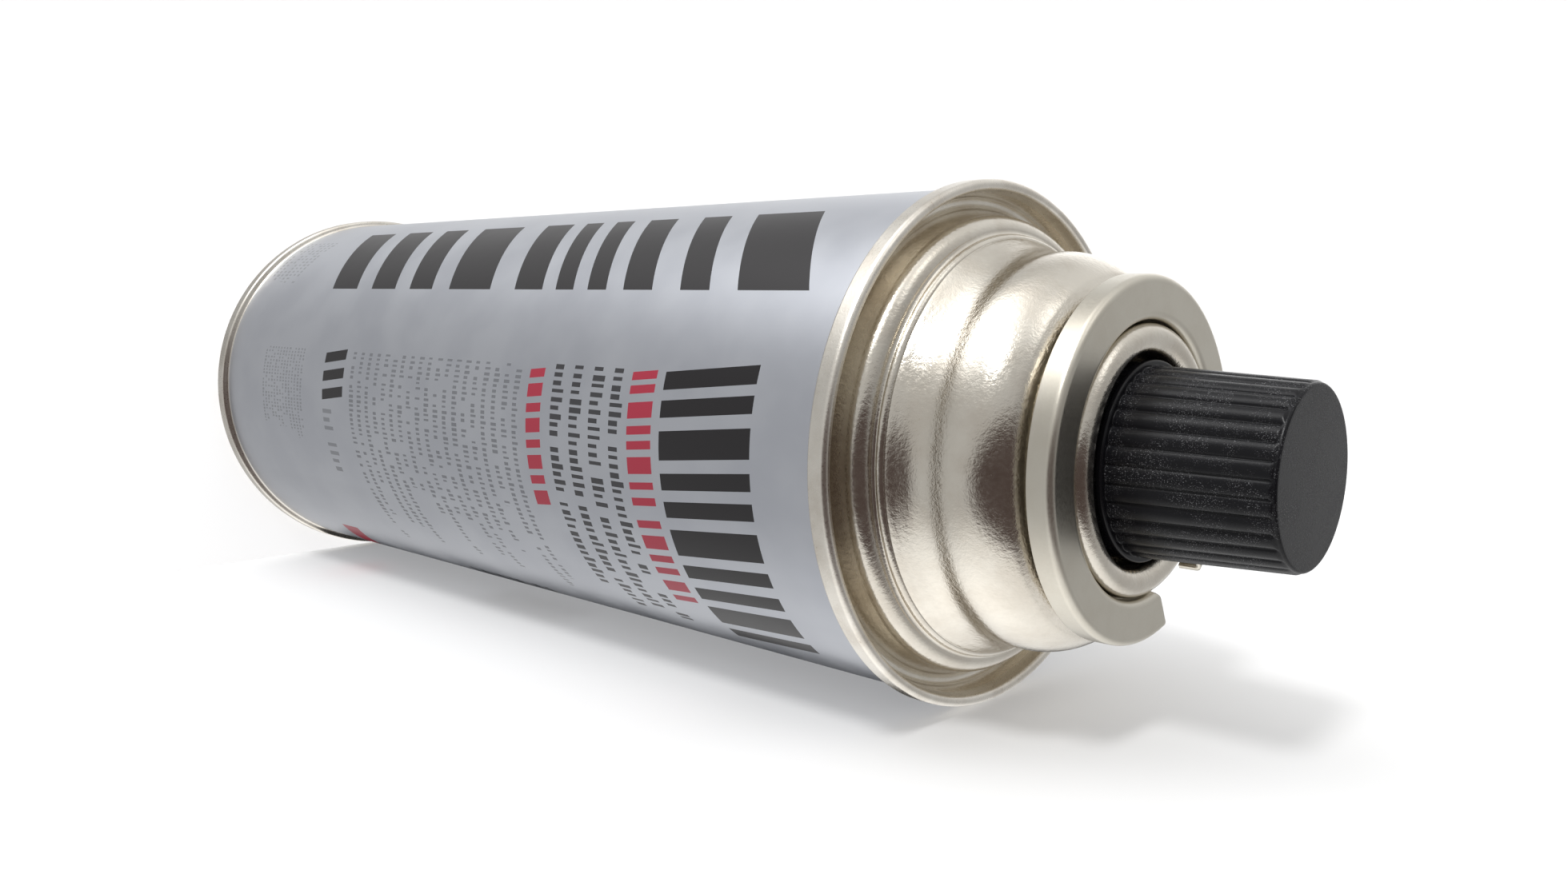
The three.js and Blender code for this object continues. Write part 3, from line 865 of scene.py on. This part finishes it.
@dataclass
class Collar:
    """Pressed ring with a turned-down skirt, cut through at the notch.

    It stands on the dome by its inner flange.
    """

    radius: float = 22.25
    sheet: float = 0.6
    foot: float = 177.6
    height: float = 3.9
    skirt: float = 3.2
    outer_bend: float = 0.9
    inner_bend: float = 1.0
    inside: float = 16.84
    notch: float = 5.1
    notch_end: float = 17.9
    turns: int = 320

    def section(self) -> np.ndarray:
        """Closed section of the sheet: the outer face and, point for point, the inner face."""
        top = self.foot + self.height
        outer = (self.radius - self.outer_bend, top - self.outer_bend)
        inner = (self.inside + self.inner_bend, top - self.inner_bend)
        edge = top - self.skirt
        r, t = self.radius, self.sheet

        def face(inset: float) -> np.ndarray:
            """One face of the sheet, from the skirt's edge over the top to the foot."""
            return np.concatenate(
                [
                    line((r - inset, edge), (r - inset, outer[1])),
                    arc(*outer, self.outer_bend - inset, 0, 90, 10)[1:],
                    line((outer[0], top - inset), (inner[0], top - inset))[1:],
                    arc(*inner, self.inner_bend - inset, 90, 180, 10)[1:],
                    line((self.inside + inset, inner[1]), (self.inside + inset, self.foot))[1:],
                ]
            )

        return np.concatenate([face(0.0), face(t)[::-1]])

    def half_width(self, radius: np.ndarray) -> np.ndarray:
        """Half of the notch's width at a radius: slightly flared, and wider in a round at the curl."""
        straight = self.notch + 0.7 * np.clip((radius - self.notch_end) / 7.35, 0, None)
        near = np.clip((self.notch_end - radius) / 3.15, 0, 1)
        return straight + 2.6 * near**1.8

    def make(self, metal: bpy.types.Material) -> bpy.types.Object:
        """Builds the collar."""
        section = self.section()
        radius = section[:, 0]
        gap = np.arcsin(np.clip(self.half_width(radius) / radius, 0, 0.9))
        share = np.linspace(0, 1, self.turns + 1)
        start = math.pi / 2 + gap
        angle = start[:, None] + (2 * math.pi - 2 * gap)[:, None] * share[None, :]
        height = np.repeat(section[:, 1:], self.turns + 1, axis=1)
        points = np.stack([radius[:, None] * np.cos(angle), radius[:, None] * np.sin(angle), height], axis=-1)
        grid = Grid(points, ring=True, closed=False, caps=True)
        return build("collar_ring", grid, [metal], Slot.COLLAR, "can_assembly", "collar")


@dataclass
class ValveCup:
    """Sheet curled over the gasket, down into the well and up over the pedestal to the nozzle's hole."""

    sheet: float = 0.4
    curl_radius: float = 14.75
    curl_round: float = 1.85
    curl_height: float = 180.1
    well: float = 175.0
    well_radius: float = 12.5
    bend_height: float = 178.2
    pedestal: float = 8.6
    pedestal_top: float = 180.6
    corner: float = 0.8
    hole: float = 2.3
    turns: int = 224

    def profile(self) -> np.ndarray:
        """Closed section: upper face outwards, then the under face back."""
        c, t, q = self.corner, self.sheet, self.curl_round
        floor = self.well + c
        edge = self.curl_height - 1.2
        inner_curl = q - t
        return join(
            line((self.hole, self.pedestal_top), (self.pedestal - c, self.pedestal_top)),
            arc(self.pedestal - c, self.pedestal_top - c, c, 90, 0, 8),
            arc(self.pedestal + c, floor, c, 180, 270, 8),
            line((self.pedestal + c, self.well), (self.well_radius - c, self.well)),
            arc(self.well_radius - c, floor, c, 270, 360, 8),
            blend_curve(np.array([(12.5, floor), (12.52, self.bend_height), (12.9, self.curl_height)]), 4),
            arc(self.curl_radius, self.curl_height, q, 180, 0, 28),
            line((self.curl_radius + q, self.curl_height), (self.curl_radius + q, edge)),
            line((self.curl_radius + q, edge), (self.curl_radius + inner_curl, edge)),
            arc(self.curl_radius, self.curl_height, inner_curl, 0, 180, 20),
            line((13.3, self.curl_height), (12.95, self.bend_height), (12.9, floor)),
            arc(self.well_radius - c, floor, c + t, 360, 270, 6),
            arc(self.pedestal + c, floor, c + t, 270, 180, 6),
            line((self.pedestal - t, floor), (self.pedestal - t, self.pedestal_top - t)),
            line((self.pedestal - t, self.pedestal_top - t), (self.hole, self.pedestal_top - t)),
            line((self.hole, self.pedestal_top - t), (self.hole, self.pedestal_top)),
        )[:-1]

    def make(self, metal: bpy.types.Material) -> bpy.types.Object:
        """Builds the cup."""
        grid = turned(self.profile(), self.turns)
        return build("cup_curl", grid, [metal], Slot.TINPLATE, "can_assembly", "valve_cup")


@dataclass
class Nozzle:
    """Hollow stem with a sealing collar and a spigot, moulded in acetal."""

    tip: float = 186.0
    radius: float = 2.0
    bore: float = 0.9
    collar: float = 3.4
    collar_top: float = 178.7
    spigot: float = 1.6
    bore_floor: float = 179.0
    turns: int = 72

    def make(self, plastic: bpy.types.Material) -> bpy.types.Object:
        """Builds the nozzle."""
        base = self.collar_top - 1.5
        lip = (self.radius - self.bore) / 2
        outline = join(
            line((0, base - 2.7), (self.spigot, base - 2.7), (self.spigot, base), (self.collar, base)),
            line((self.collar, base), (self.collar, self.collar_top), (self.radius, self.collar_top)),
            line((self.radius, self.collar_top), (self.radius, self.tip - lip)),
            arc(self.radius - lip, self.tip - lip, lip, 0, 180, 10),
            line((self.bore, self.tip - lip), (self.bore, self.bore_floor), (0, self.bore_floor)),
        )
        grid = turned(outline, self.turns)
        return build("nozzle", grid, [plastic], Slot.ACETAL, "stem", "valve_stem")


@dataclass
class Cap:
    """Ribbed thimble with a smooth base ring and a plug that snaps into the cup's well."""

    base: float = 175.3
    ring_top: float = 181.7
    top: float = 201.0
    ring: float = 12.15
    plug: float = 11.8
    foot: float = 11.5
    end: float = 10.75
    bore: float = 9.2
    ribs: int = 32
    rib_depth: float = 0.45
    samples: int = 14

    def wave(self) -> np.ndarray:
        """Round-topped ribs with narrow valleys: the square root of a rectified sine, for each angle."""
        angle = np.linspace(0, 2 * math.pi, self.ribs * self.samples, endpoint=False)
        return np.sqrt(np.abs(np.sin(self.ribs * angle / 2)))

    def profile(self) -> tuple[np.ndarray, np.ndarray, np.ndarray]:
        """Outline from the roof's inside down the bore, up the outside to the end face.

        Returns:
            Rows of (radius, height), depth of the ribs and material index of each row.
        """
        snap, ring_base = 0.3, self.ring_top - 0.9
        low = self.base + snap
        lip = self.end - self.rib_depth / 2
        roof, throat = self.top - 1.6, self.bore - 0.4
        groove = [(self.bore, 177.7), (8.9, 177.4), (8.9, 177.1), (self.bore, 176.8)]
        plain = [
            line((0.0, roof), (throat, roof)),
            line((throat, roof), groove[0]),
            line(*groove),
            line(groove[-1], (9.5, self.base), (self.plug - snap, self.base)),
            line((self.plug - snap, self.base), (self.plug, low), (self.plug, ring_base)),
        ]
        glossy = [
            arc(self.ring - snap, ring_base + snap, snap, 270, 360, 6),
            line((self.ring, ring_base + snap), (self.ring, self.ring_top - snap)),
            arc(self.ring - snap, self.ring_top - snap, snap, 0, 90, 6),
            line((self.ring - snap, self.ring_top), (self.foot + 0.02, self.ring_top)),
        ]
        height = np.linspace(self.ring_top + 0.5, self.top - 0.85, 24)
        ribbed = [
            np.array([(self.foot + 0.01, self.ring_top + 0.02), (self.foot, self.ring_top + 0.16)]),
            np.stack([np.linspace(self.foot, self.end, 24), height], axis=1),
        ]
        fade = np.linspace(0, 1, 7)[1:]
        edge = self.end - (self.end - lip) * fade**1.5
        fading = np.stack([edge, self.top - 0.85 + 0.5 * fade], axis=1)
        face = [
            arc(lip - 0.35, self.top - 0.35, 0.35, 0, 90, 8),
            line((lip - 0.35, self.top), (0.0, self.top), hold=0.3),
        ]
        parts, depth, slot = [], [], []
        for group, ribs, number in (
            (plain, 0.0, 0),
            (glossy, 0.0, 1),
            (ribbed, self.rib_depth, 0),
            ([fading], self.rib_depth * (1 - fade) ** 1.2, 0),
            (face, 0.0, 0),
        ):
            for part in group:
                parts.append(part)
                depth.append(np.broadcast_to(ribs, len(part)))
                slot.append(np.full(len(part), number))
        points = np.concatenate(parts)
        keep = apart(points)
        return points[keep], np.concatenate(depth)[keep], np.concatenate(slot)[keep]

    def make(self, grained: bpy.types.Material, glossy: bpy.types.Material) -> bpy.types.Object:
        """Builds the cap."""
        outline, depth, slots = self.profile()
        grid = turned(outline, self.ribs * self.samples, slots, depth, self.wave())
        return build("ribbed_cap", grid, [grained, glossy], Slot.CAP, "cap", "cap")


# Studio


@dataclass
class Lobe:
    """A bright or dark patch of the surroundings, given by the camera's right, up and back directions."""

    toward: Triple
    strength: float
    focus: float


@dataclass
class Studio:
    """Camera, surroundings, sun lamps, and the pale floor and wall that catch the soft shadows.

    Directions are given by the camera's right, up and back directions; lengths are in metres.
    """

    right: Triple = (-0.570858, 0.315354, 0.758072)
    up: Triple = (-0.564179, -0.821457, -0.083127)
    back: Triple = (0.59651, -0.475142, 0.646851)
    position: Triple = (0.104571, -0.081575, 0.248406)
    lens: float = 27.812
    sensor: float = 36.0
    shift: float = -0.0483
    base: float = 0.52
    table: float = 0.50
    paper: float = 0.36
    contact: float = 0.02
    dark: Triple = (0.080, 0.060, 0.056)
    dark_centre: Pair = (0.15, -0.29)
    dark_reach: Pair = (0.76, 0.50)
    fill: float = 2.8
    fill_rise: float = 3.0
    key: Triple = (-0.257, 0.791, 0.555)
    key_degrees: float = 12.0
    card_width: Pair = (-0.016, 0.016)
    card_height: Pair = (0.002, 0.156)
    wall_degrees: float = 60.3
    wall_distance: float = 0.0344
    wall_height: Pair = (-0.2, 0.6)
    wall_width: Pair = (-0.4, 0.4)
    floor_reach: float = 2.0
    lobes: tuple[Lobe, ...] = (
        Lobe((-0.48, 0.87, 0.08), 3.2, 24.0),
        Lobe((-0.15, 0.96, 0.2), 0.9, 12.0),
        Lobe((0.49, 0.79, 0.37), 1.3, 45.0),
        Lobe((0.37, 0.39, -0.84), 0.7, 16.0),
        Lobe((0.85, -0.1, 0.45), -0.2, 5.0),
        Lobe((-0.88, 0.36, -0.30), -0.16, 9.0),
        Lobe((0.64, 0.72, -0.26), 0.26, 8.0),
        Lobe((-0.25, -0.92, -0.20), 0.36, 9.0),
    )

    def camera(self) -> None:
        """Puts the camera at the photograph's angle, turned so that the can lies across the picture."""
        data = bpy.data.cameras.new("camera")
        data.lens, data.sensor_width, data.shift_x = self.lens, self.sensor, self.shift
        data.clip_start, data.clip_end = 0.005, 20.0
        view = bpy.data.objects.new("camera", data)
        turn = np.eye(4)
        turn[:3, 0], turn[:3, 1], turn[:3, 2], turn[:3, 3] = self.right, self.up, self.back, self.position
        view.matrix_world = Matrix(turn.tolist())
        bpy.context.scene.collection.objects.link(view)
        bpy.context.scene.camera = view

    def frame_vector(self, direction: Triple) -> np.ndarray:
        """Unit vector in the row frame of a direction given by right, up and back."""
        made = np.array(direction) @ np.array([self.right, self.up, self.back])
        return made / np.linalg.norm(made)

    def surroundings(self) -> None:
        """Soft room, pure white to the eye.

        The light is base + table below + paper beyond the can + strength * exp(focus * (cosine - 1)) for
        each lobe. An ellipse in front of the picture's lower half, where the photographer stood, is dark.
        """
        world = bpy.data.worlds.new("studio")
        world.use_nodes = True
        bpy.context.scene.world = world
        graph = Graph(world.node_tree)
        toward = graph.node("ShaderNodeTexCoord").outputs["Generated"]
        across = graph.vector("DOT_PRODUCT", toward, self.right, value=True)
        above = graph.vector("DOT_PRODUCT", toward, self.up, value=True)
        behind = graph.vector("DOT_PRODUCT", toward, self.back, value=True)
        level = graph.remap(above, -0.45, -0.9, self.base, self.base + self.table)
        level = graph.math("ADD", level, graph.remap(behind, -0.5, -0.95, 0.0, self.paper))
        shade = graph.math("MULTIPLY", graph.remap(above, 0.15, -0.25), graph.remap(behind, -0.8, -0.93))
        level = graph.math("MULTIPLY", level, graph.remap(shade, 0.0, 1.0, 1.0, self.contact, smooth=False))
        total = graph.combine(level, level, level)
        for lobe in self.lobes:
            cosine = graph.vector("DOT_PRODUCT", toward, tuple(self.frame_vector(lobe.toward)), value=True)
            power = graph.math("MULTIPLY", graph.math("SUBTRACT", cosine, 1.0), lobe.focus)
            glow = graph.math("MULTIPLY", graph.math("EXPONENT", power), lobe.strength)
            total = graph.vector("ADD", graph.combine(glow, glow, glow), total)
        parts = []
        for value, middle, reach in zip((across, above), self.dark_centre, self.dark_reach):
            offset = graph.math("MULTIPLY_ADD", value, 1 / reach, -middle / reach)
            parts.append(graph.math("POWER", graph.math("ABSOLUTE", offset), 2.0))
        inside = graph.remap(graph.math("ADD", *parts), 1.3, 0.6)
        inside = graph.math("MULTIPLY", inside, graph.remap(behind, 0.0, 0.3))
        total = graph.mix(inside, total, self.dark)
        total = graph.vector("MAXIMUM", total, (0.05, 0.045, 0.044))
        light = graph.node("ShaderNodeBackground", {"Color": total, "Strength": 1.0})
        plain = graph.node("ShaderNodeBackground", {"Color": (1, 1, 1, 1), "Strength": 1.0})
        ray = graph.node("ShaderNodeLightPath").outputs["Is Camera Ray"]
        both = graph.node("ShaderNodeMixShader", {0: ray, 1: light.outputs[0], 2: plain.outputs[0]})
        graph.node("ShaderNodeOutputWorld", {"Surface": both.outputs[0]})

    def sun(self, name: str, toward: np.ndarray, strength: float, degrees: float) -> bpy.types.Object:
        """Adds a sun lamp that shines from a direction.

        Args:
            name: the lamp's name.
            toward: direction to the lamp.
            strength: its strength.
            degrees: its apparent size.

        Returns:
            The lamp.
        """
        data = bpy.data.lights.new(name, "SUN")
        data.energy, data.angle = strength, math.radians(degrees)
        lamp = bpy.data.objects.new(name, data)
        z = np.asarray(toward, float) / np.linalg.norm(toward)
        x = np.cross((0.0, 0.0, 1.0) if abs(z[2]) < 0.9 else (1.0, 0.0, 0.0), z)
        x /= np.linalg.norm(x)
        turn = np.eye(4)
        turn[:3, 0], turn[:3, 1], turn[:3, 2] = x, np.cross(z, x), z
        lamp.matrix_world = Matrix(turn.tolist())
        bpy.context.scene.collection.objects.link(lamp)
        return lamp

    def sheet(self, name: str, corners: np.ndarray, colour: Colour = (0.8, 0.8, 0.8)) -> bpy.types.Object:
        """Adds a plain stage sheet with one face through four corners, clear from behind."""
        mesh = bpy.data.meshes.new(name)
        mesh.from_pydata([tuple(c) for c in corners], [], [(0, 1, 2, 3)])
        obj = bpy.data.objects.new(name, mesh)
        bpy.context.scene.collection.objects.link(obj)
        obj.visible_glossy = obj.visible_diffuse = obj.visible_transmission = False
        material, graph = new_material("plain " + name)
        front = graph.node("ShaderNodeBsdfDiffuse", {"Color": (*colour, 1.0)})
        clear = graph.node("ShaderNodeBsdfTransparent")
        rear = graph.node("ShaderNodeNewGeometry").outputs["Backfacing"]
        both = graph.node("ShaderNodeMixShader", {0: rear, 1: front.outputs[0], 2: clear.outputs[0]})
        graph.node("ShaderNodeOutputMaterial", {"Surface": both.outputs[0]})
        mesh.materials.append(material)
        return obj

    def wall_side(self) -> np.ndarray:
        """Level unit vector from the can's axis to the wall."""
        turn = math.radians(self.wall_degrees)
        return np.array([math.cos(turn), math.sin(turn), 0.0])

    def upright(self, name: str, width: Pair, height: Pair, *colour: Colour) -> bpy.types.Object:
        """Adds an upright sheet beside the can, facing it, from its limits in width and height."""
        out = self.wall_side()
        along = np.array([-out[1], out[0], 0.0])
        (left, right), (low, high) = width, height
        around = ((left, low), (left, high), (right, high), (right, low))
        corners = [out * self.wall_distance + along * a + np.array([0, 0, h]) for a, h in around]
        sheet = self.sheet(name, np.array(corners), *colour)
        sheet.visible_shadow = False
        return sheet

    def contact_card(self) -> None:
        """Adds a dark card that only reflections show: the can's wall mirrors the shade where it touches."""
        card = self.upright("card", self.card_width, self.card_height, (0.03, 0.03, 0.032))
        card.visible_camera = False
        card.visible_glossy = True

    def table_wall(self) -> bpy.types.Object:
        """Adds the pale sheet beside the can that takes the place of the table in the photograph.

        It touches the seams and is seen only from the can's side.

        Returns:
            The sheet.
        """
        return self.upright("wall", self.wall_width, self.wall_height)

    def soften(self, *sheets: bpy.types.Object) -> None:
        """Adds a shadowless lamp for the stage sheets alone, so that they are white where no shadow falls."""
        lamp = self.sun("sheet fill", np.array([0, 0, self.fill_rise]) - self.wall_side(), self.fill, 20.0)
        lamp.data.use_shadow = False
        lit = bpy.data.collections.new("sheets lit by the fill")
        for sheet in sheets:
            lit.objects.link(sheet)
        lamp.light_linking.receiver_collection = lit

    def make(self) -> None:
        """Builds the studio."""
        self.camera()
        self.surroundings()
        around = np.array([(-1, -1, 0), (1, -1, 0), (1, 1, 0), (-1, 1, 0)])
        floor = self.sheet("floor", around * self.floor_reach)
        self.sun("key", self.frame_vector(self.key), 1.0, self.key_degrees)
        self.soften(floor, self.table_wall())
        self.contact_card()
        scene = bpy.context.scene
        scene.view_settings.view_transform = "Standard"
        scene.view_settings.look = "None"
        LOG.info("studio: %d lobes", len(self.lobes))


# Assembly


def dress_nodes(frame: dict, finishes: dict[str, bpy.types.Material]) -> None:
    """Gives the CAD nodes that stay a procedural material.

    Args:
        finishes: node name to material.
    """
    for name, material in finishes.items():
        mesh = frame["nodes"][name].data
        mesh.materials.clear()
        mesh.materials.append(material)
        LOG.info("%s: CAD node with %s", name, material.name)


def main() -> None:
    """Builds the canister and its studio."""
    logging.basicConfig(level=logging.INFO, format="%(name)s: %(message)s")
    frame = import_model()
    tinplate = SatinMetal("satin tinplate", (0.785, 0.74, 0.655), (0.56, 0.49, 0.40)).material()
    pressed = SatinMetal(
        name="pressed collar steel",
        colour=(0.70, 0.665, 0.58),
        stain=(0.60, 0.55, 0.46),
        roughness=0.33,
        grain_mm=0.24,
        grain_height_mm=0.004,
        wave_height_mm=0.02,
        brush=0.25,
    ).material()
    rim = SatinMetal(
        name="scuffed seam",
        colour=(0.87, 0.83, 0.755),
        stain=(0.42, 0.35, 0.27),
        roughness=0.3,
        grain_mm=0.3,
        grain_height_mm=0.012,
        wave_height_mm=0.03,
        brush=1.0,
    ).material()
    Can().make(PrintedSteel(), tinplate, rim)
    Collar().make(pressed)
    ValveCup().make(tinplate)
    acetal = PlainMoulding(
        "white acetal", (0.82, 0.81, 0.77), (0.77, 0.755, 0.71), roughness=0.42, subsurface=0.1
    ).material()
    Nozzle().make(acetal)
    # The third colour is the colour of the painted glints on the cap.
    black = GrainedPlastic("grained black plastic", (0.009, 0.009, 0.011), (0.45, 0.45, 0.47)).material()
    polished = GrainedPlastic(
        name="polished black plastic",
        colour=(0.009, 0.009, 0.011),
        painted_glint_colour=(0.06, 0.06, 0.06),
        roughness=0.14,
        grain_mm=0.3,
        grain_height_mm=0.002,
        glint=0.2,
    ).material()
    Cap().make(black, polished)
    rubber = PlainMoulding("nitrile rubber", (0.018, 0.018, 0.019), (0.03, 0.029, 0.028), 0.75).material()
    wire = PlainMoulding("drawn spring wire", (0.55, 0.56, 0.58), (0.45, 0.46, 0.48), 0.28, 1.0).material()
    dress_nodes(
        frame, {"cup_gasket": rubber, "stem_gasket": rubber, "valve_housing": acetal, "valve_spring": wire}
    )
    Studio().make()


if __name__ == "__main__":
    main()
